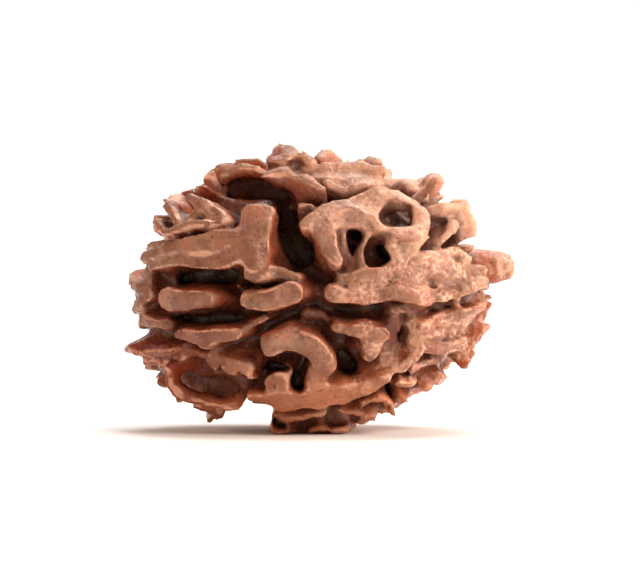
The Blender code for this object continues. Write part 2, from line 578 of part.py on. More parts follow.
def table_cutter():
    """A block whose top is the table, which takes the small flat spot off the lowest ridges."""
    block = 40.0
    bpy.ops.mesh.primitive_cube_add(
        size=block * METRES_PER_MM, location=(0.0, 0.0, -block / 2 * METRES_PER_MM))
    return helper(bpy.context.object, "table_cutter")


def stone_material():
    """Polished woody shell, red-brown."""
    material = bpy.data.materials.new("stone_shell")
    material.use_nodes = True
    surface = material.node_tree.nodes["Principled BSDF"]
    surface.inputs["Base Color"].default_value = (0.33, 0.13, 0.07, 1.0)
    surface.inputs["Roughness"].default_value = 0.5
    return material


def cut(made, cutter):
    """Takes the cutter out of the object."""
    modifier = made.modifiers.new("cut_" + cutter.name, "BOOLEAN")
    modifier.operation = "DIFFERENCE"
    modifier.object = cutter


def build():
    """The stone, with its canal and its flat spot."""
    for old in list(bpy.data.objects):
        bpy.data.objects.remove(old)
    values, corner = sample_field(SAMPLE_STEP)
    points, faces = field_surface(values, corner, SAMPLE_STEP)
    stone = mesh_object("rudraksha_stone", points + (0.0, 0.0, CENTRE_HEIGHT), faces)
    stone.data.materials.append(stone_material())
    remesh = stone.modifiers.new("even_faces", "REMESH")
    remesh.mode = "VOXEL"
    remesh.voxel_size = SAMPLE_STEP * METRES_PER_MM
    graph = bpy.context.evaluated_depsgraph_get()
    fine = stone.evaluated_get(graph).data
    fine.calc_loop_triangles()
    fewer = stone.modifiers.new("fewer_faces", "DECIMATE")
    fewer.ratio = TRIANGLES / len(fine.loop_triangles)
    cut(stone, canal_cutter())
    cut(stone, table_cutter())


build()
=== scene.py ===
"""Rudraksha bead: the cleaned hard stone of an Elaeocarpus fruit, lying on its side on a pale floor.

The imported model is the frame. One finer piece stands for its one node: the same growth, sampled more finely
and with finer relief. Lengths in the growth are in millimetres from the stone's centre.
"""

import itertools
import math

import bpy
import numpy as np
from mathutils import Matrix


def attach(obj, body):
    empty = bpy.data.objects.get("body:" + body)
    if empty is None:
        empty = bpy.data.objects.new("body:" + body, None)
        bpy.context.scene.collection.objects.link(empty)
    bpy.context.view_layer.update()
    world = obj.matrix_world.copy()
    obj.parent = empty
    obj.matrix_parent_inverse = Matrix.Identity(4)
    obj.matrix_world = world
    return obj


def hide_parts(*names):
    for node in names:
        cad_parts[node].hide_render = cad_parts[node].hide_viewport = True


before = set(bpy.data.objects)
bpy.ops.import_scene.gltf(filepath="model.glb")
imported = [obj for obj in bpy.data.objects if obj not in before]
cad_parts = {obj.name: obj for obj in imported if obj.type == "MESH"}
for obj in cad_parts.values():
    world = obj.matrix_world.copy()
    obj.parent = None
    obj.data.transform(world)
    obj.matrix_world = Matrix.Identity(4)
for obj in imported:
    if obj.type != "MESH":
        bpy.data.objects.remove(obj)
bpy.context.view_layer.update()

# The stone. A real one is a single woody shell as hard as a nut's, scrubbed clean of the blue fruit round it.
# It is grown, not made, so its form is a field: ridges drawn along their crests on a squarish egg, pits,
# seams and the canal taken out of it, and further ridges grown by rule where the drawn ones leave it bare.

# Driving dimensions, in millimetres. The mesh is brought to metres when it is made.
METRES_PER_MM = 0.001
CENTRE_HEIGHT = 8.9
ENVELOPE = np.array([11.0, 8.2, 8.4])
SQUARENESS = 2.4
TURNED_OVER = np.array([1.0, -1.0, -1.0])
GROOVE_DEPTH = 2.7
CANAL_RADIUS = 0.9
CANAL_HEIGHT = 8.2

# The outline seen from the near face, as x and z, going round from the top. It is where ridge tops reach
# midway between the two faces; the lug of the right end and the notch of the left one come on top of it.
OUTLINE = [
    (-3.2, 17.5), (-1.1, 17.7), (-0.4, 17.4), (1.6, 17.2), (3.9, 16.9), (4.4, 15.8), (5.6, 15.5), (7.4, 15.8),
    (8.2, 14.8), (9.4, 14.0), (9.7, 13.2), (9.3, 12.2), (10.0, 11.3), (10.8, 10.3), (11.0, 9.0), (11.0, 8.0),
    (10.6, 7.0), (10.0, 6.3), (9.7, 5.0), (8.6, 4.0), (6.1, 2.6), (4.5, 1.4), (2.6, 0.5), (1.3, -0.15),
    (-1.0, -0.3), (-2.8, -0.2), (-3.0, 1.4), (-4.4, 1.8), (-5.4, 1.5), (-6.2, 0.8), (-7.0, 0.75), (-8.5, 1.7),
    (-9.8, 2.6), (-11.0, 4.0), (-11.8, 5.2), (-11.6, 6.2), (-11.8, 7.1), (-11.9, 9.3), (-11.7, 10.6),
    (-10.5, 12.0), (-10.3, 13.2), (-9.5, 14.4), (-8.1, 14.8), (-7.3, 15.3), (-6.5, 16.7), (-4.3, 17.1),
]
OUTLINE_FADE = 4.5


def envelope_reach(points):
    """How far out each point lies, where 1 is on the envelope."""
    return (np.abs(points / ENVELOPE) ** SQUARENESS).sum(axis=-1) ** (1.0 / SQUARENESS)


def onto_envelope(points):
    """The points moved in or out along their own radius until they lie on the envelope."""
    return points / envelope_reach(points)[..., None]


def bare_height(points):
    """Radial distance of each point above the plain envelope."""
    return np.linalg.norm(points, axis=-1) * (1.0 - 1.0 / envelope_reach(points))


def outline_levels():
    """The outline as angles in the XZ plane and heights above the plain envelope."""
    ring = np.array([(x, 0.0, z - CENTRE_HEIGHT) for x, z in OUTLINE])
    return np.arctan2(ring[:, 2], ring[:, 0]), bare_height(ring)


def outline_swell(points):
    """How far the stone swells past the plain envelope so that its outline is the one given."""
    angles, levels = outline_levels()
    there = np.interp(np.arctan2(points[..., 2], points[..., 0]), angles, levels, period=2.0 * np.pi)
    return there * np.exp(-((points[..., 1] / OUTLINE_FADE) ** 2))


# Round the edge between the two faces the grooves are shallower and the ridge tops keep to the outline
RIM_FILL = 0.58
RIM_EVENNESS = 0.8
RIM_FADE = 3.0


def rim_share(points):
    """How much each point belongs to the edge between the two faces, from 0 to 1."""
    return np.exp(-((points[..., 1] / RIM_FADE) ** 2))


# Ridges of the near face: half-widths along it, its top or tops above the envelope, and its crest as x, z
FACE_RIDGES = [
    # Long arm, upright block and its foot, upper left
    ((0.5, 0.55, 0.65, 0.7), (0.1, 0.25, 0.4, 0.4),
     [(-10.9, 11.0), (-8.9, 11.45), (-7.3, 11.9), (-5.4, 12.2)]),
    ((0.5, 0.6, 0.8, 0.9), (-0.3, -0.2, -0.1, 0.0),
     [(-10.7, 10.5), (-8.9, 10.8), (-7.2, 11.1), (-5.3, 11.2)]),
    ((1.1, 1.15, 1.0), (0.45, 0.3, 0.1), [(-3.85, 13.5), (-4.0, 12.1), (-3.95, 10.9)]),
    ((0.6, 0.55, 0.45), (-0.2, -0.4, -0.7), [(-4.3, 9.95), (-2.8, 10.1), (-1.5, 10.1)]),
    # Knobs on both sides of the seam, left half
    ((0.85, 0.75, 0.6), (0.0, 0.1, 0.1), [(-9.3, 8.4), (-7.8, 8.5), (-6.85, 8.5)]),
    ((0.75, 0.8, 0.85), (0.1, 0.25, 0.35), [(-4.4, 8.35), (-3.1, 8.5), (-1.65, 9.0)]),
    ((0.5, 0.65, 0.6), -0.05, [(-9.0, 6.2), (-6.9, 6.1), (-5.2, 6.2)]),
    ((0.5,), 0.05, [(-7.0, 5.5)]),
    ((0.45, 0.35), -0.5, [(-4.8, 6.6), (-3.4, 7.2)]),
    # Knobs below the seam, middle
    ((0.7, 0.8, 0.85, 0.7), 0.15, [(-3.1, 5.5), (-1.7, 6.0), (-0.4, 5.5), (0.4, 4.6)]),
    ((0.45, 0.6, 0.65), 0.1, [(1.1, 6.65), (2.6, 6.45), (4.0, 6.4)]),
    ((0.8, 0.4), 0.15, [(3.3, 5.9), (2.95, 4.9)]),
    ((0.5, 0.5), -0.9, [(-0.9, 7.3), (0.3, 7.1)]),
    # Lower plateau round its two pits
    ((0.6, 0.95, 1.1, 0.95, 0.6, 0.4), 0.25,
     [(-3.9, 2.4), (-2.5, 2.3), (-0.3, 2.5), (1.4, 2.7), (2.9, 3.2), (4.0, 3.7)]),
    ((0.7, 0.6), 0.15, [(-0.2, 3.4), (0.3, 4.3)]),
    ((0.5, 0.5, 0.4), -0.4, [(-3.2, 3.1), (-2.5, 3.7), (-2.0, 3.9)]),
    ((0.5, 0.45), -0.2, [(-2.3, 3.0), (-2.3, 3.6)]),
    ((0.4, 0.4), -0.1, [(-0.5, 3.3), (-0.4, 4.2)]),
    # Upper lip of the seam and the rough shoulder above it, right half
    ((0.7, 0.6, 0.6, 0.7, 0.6, 0.5), 0.05,
     [(0.8, 8.9), (2.8, 8.8), (5.0, 8.9), (7.0, 8.8), (9.0, 9.1), (10.4, 9.3)]),
    ((0.8, 0.9, 0.8, 0.6), (-0.9, -0.5, 0.0, -0.1), [(4.5, 9.8), (6.6, 10.0), (8.6, 10.3), (10.0, 10.1)]),
    ((0.55, 0.5, 0.5, 0.45), (-0.7, -0.4, -0.1, 0.0), [(5.8, 10.7), (6.9, 11.2), (8.4, 11.4), (9.3, 10.9)]),
    ((0.55, 0.7, 0.7, 0.6), (-0.6, -0.4, -0.5, -0.7), [(1.5, 9.9), (2.7, 9.9), (3.9, 10.0), (4.9, 10.3)]),
    # Lower lip of the seam and the plates under it, right half
    ((0.5, 0.45, 0.4), -0.8, [(5.2, 7.8), (7.6, 8.1), (10.3, 8.5)]),
    ((0.45, 0.6, 0.5), -0.15, [(6.2, 7.0), (8.3, 7.3), (10.2, 7.9)]),
    ((0.7, 0.8, 0.7), -0.9, [(5.2, 6.9), (4.9, 5.6), (4.4, 4.3)]),
    ((0.6, 0.7, 0.6), -0.45, [(6.6, 6.5), (8.5, 6.3), (9.8, 7.0)]),
    ((0.45, 0.5, 0.45), -0.05, [(6.6, 6.0), (5.7, 4.9), (5.0, 4.1)]),
    ((0.7, 0.7, 0.5), -0.45, [(7.0, 5.3), (8.5, 5.1), (9.4, 5.7)]),
    ((0.55, 0.6), -0.6, [(6.1, 3.7), (8.0, 4.2)]),
    ((0.45, 0.45), -0.2, [(4.9, 3.1), (6.1, 2.9)]),
    # Pitted plateau, upper right: its rim, the flat inside it, the arm hanging from it and the pit's lip
    ((0.45, 0.5, 0.6, 0.65, 0.6, 0.55, 0.5), 0.3,
     [(-1.0, 12.9), (0.0, 13.6), (1.7, 14.4), (3.6, 14.6), (5.1, 14.45), (6.1, 13.7), (6.2, 12.7)]),
    ((0.8, 1.0, 1.0, 0.9), (-0.1, -0.1, 0.1, 0.1), [(1.2, 13.6), (2.6, 13.9), (4.2, 13.8), (5.3, 13.6)]),
    ((0.4, 0.45, 0.45), 0.3, [(2.0, 14.2), (2.9, 13.4), (3.8, 12.9)]),
    ((0.7, 0.8, 0.6), (0.2, 0.15, 0.2), [(0.2, 13.0), (0.5, 11.8), (0.95, 10.9)]),
    ((0.4, 0.45, 0.5), (0.2, 0.35, 0.25), [(3.9, 12.9), (5.0, 12.55), (6.0, 12.4)]),
    ((0.5, 0.55, 0.6), (-0.5, -0.8, -1.0), [(1.6, 12.6), (1.9, 11.6), (2.2, 10.9)]),
    ((0.35, 0.3, 0.35), (-0.4, -0.6, -0.8), [(3.2, 12.6), (2.9, 11.7), (3.0, 10.8)]),
    ((0.7, 0.7), -0.55, [(5.2, 11.9), (5.2, 11.2)]),
    ((0.45, 0.5, 0.4), (-0.9, -0.4, -0.1), [(5.0, 10.9), (6.1, 11.5), (6.6, 12.2)]),
    ((0.4, 0.45, 0.4, 0.4), 0.3, [(7.3, 14.1), (8.5, 13.9), (9.1, 13.2), (9.2, 12.3)]),
    ((0.45, 0.45), -0.3, [(8.5, 13.2), (7.9, 12.1)]),
    ((0.35, 0.3), 0.0, [(-1.4, 14.3), (-0.4, 14.2)]),
    # Broken plates along the top and the curled fin below them
    ((0.8, 0.8, 0.8, 0.7), -0.3, [(-5.6, 16.1), (-2.4, 16.5), (0.8, 16.3), (3.6, 15.9)]),
    ((0.4, 0.5, 0.45), 0.15, [(-6.1, 15.9), (-4.9, 16.3), (-3.9, 16.3)]),
    ((0.5, 0.6, 0.5), 0.3, [(-3.0, 16.9), (-1.6, 17.0), (-0.6, 16.8)]),
    ((0.45, 0.5, 0.5), 0.15, [(0.3, 16.6), (1.9, 16.6), (3.6, 16.2)]),
    ((0.5, 0.5), -0.15, [(3.6, 15.6), (2.2, 15.6)]),
    ((0.45, 0.4), -0.3, [(0.4, 15.7), (1.4, 15.5)]),
    ((0.35, 0.45, 0.5, 0.45, 0.3), 0.55,
     [(-3.4, 15.5), (-2.4, 15.9), (-1.4, 15.8), (-0.5, 15.3), (0.2, 14.9)]),
    # Small blades, upper left
    ((0.7, 0.7), -0.5, [(-8.6, 13.6), (-6.9, 13.4)]),
    ((0.5, 0.6, 0.6, 0.35), (0.35, 0.2, 0.1, 0.0), [(-7.6, 14.3), (-6.9, 14.1), (-6.3, 13.7), (-5.7, 13.3)]),
    ((0.35, 0.3), 0.1, [(-7.4, 14.0), (-8.0, 13.2)]),
    ((0.6, 0.6), -0.3, [(-11.2, 9.9), (-11.0, 8.6)]),
    ((0.5, 0.5), -0.3, [(-11.2, 7.1), (-9.9, 6.8)]),
    ((0.4, 0.4, 0.35, 0.3), 0.15, [(-9.1, 12.3), (-7.9, 12.9), (-6.6, 13.0), (-5.7, 13.1)]),
    ((0.3, 0.45, 0.4), 0.3, [(-9.9, 14.5), (-9.2, 13.9), (-8.7, 13.1)]),
    ((0.3, 0.4, 0.4), 0.1, [(-10.6, 13.2), (-9.9, 12.7), (-9.3, 12.2)]),
    # Blades, cup and star, lower left
    ((0.35, 0.4, 0.35), -0.05, [(-11.2, 5.0), (-10.1, 4.9), (-8.9, 5.2)]),
    ((0.4, 0.4), -0.2, [(-10.7, 4.3), (-9.3, 4.0)]),
    ((0.5, 0.5, 0.4), -0.7, [(-9.8, 4.7), (-8.6, 4.7), (-7.6, 4.6)]),
    ((0.35, 0.35, 0.35, 0.35, 0.35), 0.5,
     [(-8.8, 4.2), (-8.6, 3.1), (-7.5, 2.2), (-6.1, 2.0), (-4.8, 2.0)]),
    ((0.45, 0.6, 0.45), (-0.3, -0.1, -0.3), [(-7.0, 4.5), (-5.9, 4.3), (-4.6, 4.0)]),
    ((0.45, 0.25), (-0.1, 0.0), [(-5.9, 4.0), (-5.75, 3.2)]),
    ((0.3, 0.2), -0.2, [(-6.9, 4.2), (-6.9, 3.7)]),
    ((0.3, 0.2), -0.2, [(-4.8, 3.8), (-4.4, 3.2)]),
    ((0.45, 0.5), 0.1, [(-7.8, 1.4), (-6.8, 1.3)]),
    # Small cups and plates along the bottom
    ((0.3, 0.3, 0.3, 0.3), 0.35, [(2.6, 2.0), (3.5, 2.4), (4.3, 2.1), (4.3, 1.6)]),
    ((0.3, 0.3, 0.3), 0.0, [(1.2, 1.2), (2.0, 1.4), (2.7, 1.0)]),
    ((0.35, 0.4, 0.35), 0.1, [(-2.3, 0.9), (-1.0, 1.1), (0.1, 1.3)]),
]

# Pits and seams of the near face, sunk straight in from the front: half-widths, depth, and the path as x, z
FACE_PITS = [
    ((0.2, 0.22, 0.15), 1.9, [(0.6, 7.75), (1.9, 7.8), (3.6, 7.7)]),
    ((0.2, 0.3, 0.25), 3.0, [(-9.0, 7.3), (-7.3, 7.05), (-5.0, 7.3)]),
    ((0.7, 0.7), 1.0, [(4.5, 13.5), (5.2, 13.45)]),
    ((0.45, 0.45), 1.7, [(4.6, 13.5), (5.1, 13.4)]),
    ((0.35, 0.35), 3.4, [(2.2, 12.4), (2.5, 12.1)]),
    ((0.45, 0.4), 3.4, [(3.6, 11.6), (4.2, 11.0)]),
    ((0.35, 0.3), 1.7, [(7.2, 13.3), (7.1, 12.5)]),
    ((0.38, 0.35), 3.4, [(-1.4, 3.85), (-1.3, 3.2)]),
    ((0.25, 0.25), 3.2, [(-3.0, 4.4), (-1.9, 4.35)]),
    ((0.35, 0.4), 3.4, [(1.3, 5.3), (1.6, 4.5)]),
    ((0.5, 0.65, 0.95, 1.0), 5.4, [(-2.2, 14.2), (-2.1, 13.2), (-1.8, 12.0), (-1.3, 11.3)]),
    ((0.65, 0.75, 0.5), 5.8, [(-5.3, 15.1), (-3.8, 15.1), (-2.3, 14.6)]),
    ((0.35, 0.55, 0.55), 3.8, [(-8.4, 9.6), (-7.0, 9.85), (-5.6, 9.8)]),
    ((0.45, 0.65, 0.62, 0.4), 3.0, [(-8.0, 3.6), (-7.1, 3.15), (-5.9, 3.0), (-5.0, 3.05)]),
    ((0.35, 0.35), 1.6, [(3.1, 1.8), (3.9, 1.75)]),
    ((0.4,), 0.5, [(-1.6, 16.8)]),
    ((0.25,), 1.8, [(4.0, 15.7)]),
    ((0.22, 0.22), 1.0, [(-2.7, 0.85), (-2.2, 0.65)]),
    ((0.28, 0.25), 1.0, [(-1.0, 0.6), (-0.5, 0.75)]),
    ((0.3, 0.3), 1.0, [(0.7, 0.8), (1.3, 1.0)]),
]

# How the drawn paths are laid on the envelope: rounds of fitting, the least room left at its edge, curved
# steps between two given points, and the length of a path that is only a dot
FITTING_ROUNDS = 3
LEAST_ROOM = 0.03
CURVE_STEPS = 3
DOT_LENGTH = 0.01


def near_face_point(x, z):
    """The envelope's point on the near face that is seen at x and z, where z counts from the table."""
    stretch = 1.0
    for _ in range(FITTING_ROUNDS):
        across, up = x / stretch, (z - CENTRE_HEIGHT) / stretch
        room = 1.0 - abs(across / ENVELOPE[0]) ** SQUARENESS - abs(up / ENVELOPE[2]) ** SQUARENESS
        depth = -ENVELOPE[1] * max(room, LEAST_ROOM) ** (1.0 / SQUARENESS)
        spot = onto_envelope(np.array([across, depth, up]))
        stretch = 1.0 + outline_swell(spot) / np.linalg.norm(spot)
    return spot


def smooth_path(points):
    """The path with curved points between those given, all on the envelope."""
    if len(points) == 1:
        return onto_envelope(np.array([points[0], points[0] + DOT_LENGTH]))
    ends = [2 * points[0] - points[1], *points, 2 * points[-1] - points[-2]]
    line = []
    for before, start, end, after in zip(ends, ends[1:], ends[2:], ends[3:]):
        for t in np.arange(CURVE_STEPS) / CURVE_STEPS:
            line.append(0.5 * (2 * start + (end - before) * t
                               + (2 * before - 5 * start + 4 * end - after) * t**2
                               + (3 * start - before - 3 * end + after) * t**3))
    line.append(points[-1])
    return onto_envelope(np.array(line))


def along_path(values, count):
    """A value for each of count path points, from the few that were given."""
    return np.interp(np.linspace(0.0, 1.0, count), np.linspace(0.0, 1.0, len(values)), values)


def face_strokes(table):
    """Each row of a face table as (path, half-widths, levels), on the near face and again on the far one."""
    strokes = []
    for half_widths, level, outline in table:
        path = smooth_path([near_face_point(x, z) for x, z in outline])
        widths = along_path(half_widths, len(path))
        levels = along_path(np.atleast_1d(level), len(path))
        strokes.append((path, widths, levels))
        strokes.append((path * TURNED_OVER, widths, levels))
    return strokes


def sunk_strokes(table):
    """Each row of a table of pits as (path seen from the front, half-widths, how far back the floor lies)."""
    strokes = []
    for half_widths, depth, outline in table:
        path = smooth_path([near_face_point(x, z) for x, z in outline])
        path *= 1.0 + (outline_swell(path) / np.linalg.norm(path, axis=1))[:, None]
        strokes.append((path[:, [0, 2]], along_path(half_widths, len(path)), path[:, 1] + depth))
    return strokes


# Ridges that cross the edge between the two faces, each seen end on in the outline: x and z of the outline,
# how far it runs in front of and behind that edge, its slant, half-width, and top above the outline
EDGE_RIDGES = [
    (11.0, 10.4, -1.2, 0.8, 0.2, 1.05, 0.5),
    (11.0, 10.4, -0.9, 0.5, 0.2, 0.8, 1.1),
    (-9.3, 14.6, -2.2, 2.0, -0.8, 0.3, 0.1),
    (-7.9, 15.1, -2.2, 2.6, 1.0, 0.35, 0.0),
    (-11.8, 5.1, -2.0, 2.2, 0.5, 0.35, 0.15),
    (-11.7, 9.3, -2.6, 2.4, -0.9, 0.5, 0.0),
    (-11.8, 7.6, -2.4, 2.8, 0.8, 0.45, 0.0),
    (-11.8, 8.4, -2.0, 2.0, 0.2, 0.5, -0.3),
    (-6.8, 0.9, -2.4, 2.2, -0.8, 0.4, 0.0),
    (-2.4, 0.0, -3.3, 3.3, 0.4, 0.8, 0.6),
    (-1.3, -0.2, -2.8, 2.8, 0.2, 0.6, 0.4),
    (-0.4, -0.2, -3.3, 3.3, -0.4, 0.75, 0.6),
    (0.6, -0.1, -2.8, 2.8, 0.2, 0.6, 0.4),
    (1.5, 0.1, -3.3, 3.3, 0.5, 0.7, 0.6),
    (2.9, 0.7, -2.8, 2.6, -0.5, 0.7, 0.0),
    (4.5, 1.5, -2.4, 2.4, 0.8, 0.55, 0.0),
    (5.4, 2.1, -2.4, 2.4, 0.3, 0.6, -0.1),
    (6.2, 2.7, -2.2, 2.4, -0.8, 0.5, 0.0),
    (7.3, 3.3, -2.2, 2.2, -0.3, 0.7, 0.0),
    (-2.4, 17.6, -2.4, 2.6, 1.4, 0.6, 0.0),
    (0.6, 17.3, -2.4, 2.8, -1.2, 0.5, 0.0),
    (3.3, 17.0, -2.2, 2.4, 1.2, 0.5, 0.0),
    (7.2, 15.8, -1.6, 2.4, 1.0, 0.5, 0.0),
]

# Notches across that edge, as x, z, front, back, slant, half-width, and depth under the outline
EDGE_PITS = [(-11.6, 5.85, -3.2, 3.2, 0.4, 0.3, 1.3)]


def edge_strokes(table):
    """Each row of the edge table as (path, half-widths, levels)."""
    strokes = []
    for x, z, front, back, slant, half_width, level in table:
        middle = np.array([x, 0.0, z - CENTRE_HEIGHT])
        outward = middle / ENVELOPE**2
        tangent = np.array([-outward[2], 0.0, outward[0]]) / np.hypot(outward[0], outward[2])
        ends = [middle + tangent * slant * share + (0.0, depth, 0.0)
                for share, depth in ((-0.5, front), (0.0, (front + back) / 2), (0.5, back))]
        path = smooth_path([onto_envelope(end) for end in ends])
        strokes.append((path, np.full(len(path), half_width), np.full(len(path), level)))
    return strokes


# Ridges grown by rule over what the drawn ones leave bare, first the main ones and then low ones between
# them: seed, clear gap kept, half-widths, tops above the envelope, and longest run. Each one's width follows
# the part of a half wave that GROWN_TAPER gives.
GROWN_RIDGES = [(21, 0.5, (0.5, 0.85), (-0.35, 0.15), 5.0), (22, 0.35, (0.26, 0.4), (-1.5, -0.6), 3.0)]
GROWTH_STEP = 0.5
GROWTH_SPOTS = 4000
GROWTH_CELL = 4.0
GROWN_TAPER = (0.2, 0.8)

# The grain that grown ridges follow: its noise, and how strongly it runs along the stone
GRAIN_SEED = 31
LENGTHWISE_GRAIN = np.array([0.35, 0.0, 0.0])
NOISE_CELLS = 32


def growth_noise(points, cell, seed):
    """Smooth noise from -1 to 1 in three channels, with bumps about one cell wide."""
    table = np.random.default_rng(seed).uniform(-1.0, 1.0, (NOISE_CELLS, NOISE_CELLS, NOISE_CELLS, 3))
    place = points / cell
    base = np.floor(place).astype(int)
    part = place - base
    part = part * part * (3.0 - 2.0 * part)
    total = np.zeros((len(points), 3))
    for corner in itertools.product((0, 1), repeat=3):
        index = (base + corner) % NOISE_CELLS
        share = np.prod(np.where(corner, part, 1.0 - part), axis=1)
        total += share[:, None] * table[index[:, 0], index[:, 1], index[:, 2]]
    return total


def clear_gap(spot, line):
    """Distance from a spot to the nearest side of the ridges along a line of (x, y, z, half-width) rows."""
    return (np.linalg.norm(line[:, :3] - spot, axis=1) - line[:, 3]).min()


def grown_path(start, taken, gap, longest):
    """A path from start both ways along the grain, kept a gap clear of what is taken."""
    halves = []
    for sense in (1.0, -1.0):
        spot, heading, half = start, None, []
        while len(half) * GROWTH_STEP < longest / 2:
            grain = growth_noise(spot[None], GROWTH_CELL, GRAIN_SEED)[0] + LENGTHWISE_GRAIN
            grain -= spot * (grain @ spot) / (spot @ spot)
            grain = sense * grain if heading is None else np.sign(grain @ heading) * grain
            heading = grain / np.linalg.norm(grain)
            spot = onto_envelope(spot + heading * GROWTH_STEP)
            if clear_gap(spot, taken) < gap:
                break
            half.append(spot)
        halves.append(half)
    return np.array([*halves[1][::-1], start, *halves[0]])


def grown_strokes(drawn, recipe):
    """Ridges grown over what the drawn ones leave bare, as (path, half-widths, levels)."""
    seed, gap, half_widths, levels, longest = recipe
    random = np.random.default_rng(seed)
    taken = np.concatenate([np.column_stack([path, widths]) for path, widths, _ in drawn])
    strokes = []
    for start in onto_envelope(random.normal(size=(GROWTH_SPOTS, 3))):
        half_width, level = random.uniform(*half_widths), random.uniform(*levels)
        if clear_gap(start, taken) < gap + half_width:
            continue
        path = grown_path(start, taken, gap + half_width, longest)
        if len(path) < 2:
            continue
        taper = np.sin(np.pi * np.linspace(*GROWN_TAPER, len(path)))
        strokes.append((path, half_width * taper, level * (1.0 - RIM_EVENNESS * rim_share(path))))
        taken = np.concatenate([taken, np.column_stack([path, strokes[-1][1]])])
    return strokes


def all_ridges():
    """Every ridge of the stone: drawn ones, and those grown between them."""
    strokes = face_strokes(FACE_RIDGES) + edge_strokes(EDGE_RIDGES)
    for recipe in GROWN_RIDGES:
        strokes += grown_strokes(strokes, recipe)
    return strokes


# How the ridges and pits are shaped, in millimetres. FAR is the field's value well off the surface, and
# STROKE_REACH is how far past its side a ridge or pit is still worked out.
RIDGE_JOIN = 0.35
TOP_ROUNDING = 0.38
TOP_CROWN = 0.35
TOP_BUMPS = 0.3
ROOT_FILLET = 0.8
UNDERCUT = 0.25
UNDERCUT_SHARE = 0.4
ROOT_SPREAD = 0.6
LIP_HEIGHT = 0.18
LIP_INSET = 0.25
LIP_WIDTH = 0.17
PIT_ROUNDING = 0.4
PIT_BUMPS = 0.3
FAR = 3.0
STROKE_REACH = 1.5

# How the growth wanders from the plan, in millimetres: size of the bumps and how far they move the surface
WANDER_CELL = 2.3
WANDER = 0.22
WANDER_SEED = 11
RIPPLE_CELL = 0.9
RIPPLE = 0.13
RIPPLE_SEED = 12
BUMP_CELL = 1.5
BUMP_SEED = 13
FLOOR_BUMPS = 0.6

# The dried fruit left on the stone, thickest at the end with the lug: its grain, and how far it stands out
CRUST_CELL = 0.7
CRUST_SEED = 14
CRUST = 0.2
CRUST_LEAST = 0.35
CRUST_START = -3.0
CRUST_FULL = 7.0


def blend_min(first, second, width):
    """The lower of two fields, rounded where they meet."""
    share = np.clip(0.5 + 0.5 * (second - first) / width, 0.0, 1.0)
    return second + (first - second) * share - width * share * (1.0 - share)


def blend_max(first, second, width):
    """The higher of two fields, rounded where they meet."""
    return -blend_min(-first, -second, width)


def stroke_distance(points, stroke):
    """Each point's distance from the stroke's side, negative inside, and the level and half-width there."""
    path, widths, levels = stroke
    nearest = np.full(len(points), np.inf)
    traits = np.zeros((len(points), 2))
    ends = np.column_stack([levels, widths])
    for i in range(len(path) - 1):
        run = path[i + 1] - path[i]
        share = np.clip((points - path[i]) @ run / (run @ run), 0.0, 1.0)
        gap = np.linalg.norm(points - path[i] - share[:, None] * run, axis=1)
        here = ends[i] + share[:, None] * (ends[i + 1] - ends[i])
        gap -= here[:, 1]
        closer = gap < nearest
        nearest = np.where(closer, gap, nearest)
        traits = np.where(closer[:, None], here, traits)
    return nearest, *traits.T


def joined(spots, strokes, shape):
    """The fields that shape makes of all the strokes, run together."""
    total = np.full(len(spots), FAR)
    for stroke in strokes:
        path, half_widths, _ = stroke
        middle = path.mean(axis=0)
        reach = np.linalg.norm(path - middle, axis=1).max() + half_widths.max() + STROKE_REACH
        near = np.flatnonzero(np.linalg.norm(spots - middle, axis=1) < reach)
        own = shape(near, *stroke_distance(spots[near], stroke))
        total[near] = blend_min(total[near], own, RIDGE_JOIN)
    return total


def sunk_pits(points, pit_strokes, bumps):
    """The pits of the near face as one field, negative inside them."""
    def pit(near, side, floor, _):
        return blend_max(side + PIT_BUMPS * bumps[near], points[near, 1] - floor, PIT_ROUNDING)

    return joined(points[:, [0, 2]], pit_strokes, pit)


def faded(value, start, full):
    """A share that goes from 0 to 1 as the value goes from start to full."""
    return np.clip((value - start) / (full - start), 0.0, 1.0)


def crust_relief(points):
    """How far the crust stands out from the bare shell at each point."""
    share = np.maximum(faded(points[:, 0], CRUST_START, CRUST_FULL), CRUST_LEAST)
    return CRUST * share * growth_noise(points, CRUST_CELL, CRUST_SEED)[:, 0]


